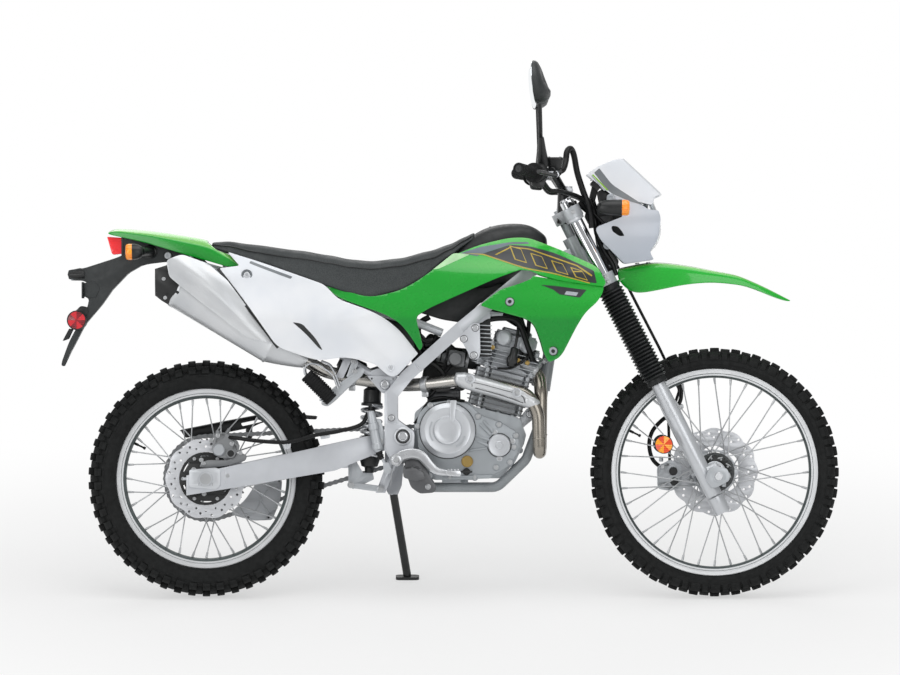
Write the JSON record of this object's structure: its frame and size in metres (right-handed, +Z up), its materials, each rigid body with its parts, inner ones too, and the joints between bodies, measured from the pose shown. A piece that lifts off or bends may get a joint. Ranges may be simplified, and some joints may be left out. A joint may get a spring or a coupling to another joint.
{
  "type": "dual sport motorcycle",
  "caption": "Dual sport motorcycle with long-travel fork, knobbly tyres, high front mudguard and side stand, parked leaning on its stand.",
  "frame": {"origin": "on the floor, below the middle of the parked machine's bounding box", "axes": "+X forward along the machine, +Y to the rider's left, +Z up; the machine leans 10 degrees to its left"},
  "size_m": [2.111, 0.8826, 1.4907],
  "materials": {
    "amber_lens": "moulded",
    "black_metal": "satin black",
    "black_plastic": "grained",
    "chrome": "hard chrome",
    "engine_alloy": "cast, satin",
    "exhaust_steel": "satin stainless",
    "fin_alloy": "cast fins",
    "frame_silver": "satin silver paint",
    "green_plastic": "gloss",
    "grey_cover": "textured vinyl",
    "machined_alloy": "machined",
    "red_lens": "moulded",
    "rubber": "matte",
    "steel": "brushed",
    "tread": "matte",
    "white_plastic": "gloss"
  },
  "bodies": {
    "chassis": {"main_frame": "frame_silver", "cradle": "black_metal", "subframe": "frame_silver", "crankcase": "engine_alloy", "engine_covers": "engine_alloy", "cylinder": "fin_alloy", "cylinder_head": "fin_alloy", "air_box": "black_plastic", "exhaust_pipe": "exhaust_steel", "muffler": "exhaust_steel", "muffler_cap": "black_metal", "exhaust_shields": "exhaust_steel", "swingarm": "frame_silver", "swingarm_bolt": "steel", "rear_axle": "steel", "rear_shock": "black_metal", "shock_link": "steel", "fuel_tank": "black_plastic", "seat": "grey_cover", "shrouds": "green_plastic", "side_covers": "white_plastic", "rear_fender": "green_plastic", "mudguard": "black_plastic", "tail_lamp": "red_lens", "rear_indicators": "amber_lens", "drive_chain": "steel", "front_sprocket": "steel", "chain_guard": "black_plastic", "footpegs": "steel", "foot_levers": "steel", "rear_caliper": "black_metal", "rear_brake_hose": "black_metal"},
    "steering": {"fork_clamps": "machined_alloy", "fork_tubes": "chrome", "fork_boots": "rubber", "fork_sliders": "machined_alloy", "front_axle": "steel", "handlebar": "machined_alloy", "grips": "rubber", "hand_controls": "black_plastic", "mirrors": "black_plastic", "headlight_cowl": "white_plastic", "headlamp": "black_plastic", "meter": "black_plastic", "front_fender": "green_plastic", "front_caliper": "black_metal", "front_brake_hose": "black_metal", "front_indicators": "amber_lens"},
    "front_wheel": {"front_tyre": "tread", "front_rim": "machined_alloy", "front_spokes": "steel", "front_hub": "machined_alloy", "front_disc": "steel"},
    "rear_wheel": {"rear_tyre": "tread", "rear_rim": "machined_alloy", "rear_spokes": "steel", "rear_hub": "machined_alloy", "rear_disc": "steel", "rear_sprocket": "steel"},
    "side_stand": {"side_stand": "black_metal"}
  },
  "joints": [
    {"name": "rear_wheel_spin", "type": "hinge", "parent": "chassis", "child": "rear_wheel", "pos_m": [-0.6625, -0.16565, 0.31782], "axis": [0, 0.9848, -0.1736], "continuous": true},
    {"name": "steering_turn", "type": "hinge", "parent": "chassis", "child": "steering", "pos_m": [0.35913, -0.06184, 0.90655], "axis": [-0.4509, 0.155, 0.879], "range_deg": [-43, 43]},
    {"name": "front_wheel_spin", "type": "hinge", "parent": "steering", "child": "front_wheel", "pos_m": [0.7175, -0.1627, 0.33457], "axis": [0, 0.9848, -0.1736], "continuous": true},
    {"name": "side_stand_fold", "type": "hinge", "parent": "chassis", "child": "side_stand", "pos_m": [-0.1575, -0.05448, 0.26877], "axis": [0.1178, 0.9399, 0.3205], "range_deg": [0, 99]}
  ]
}
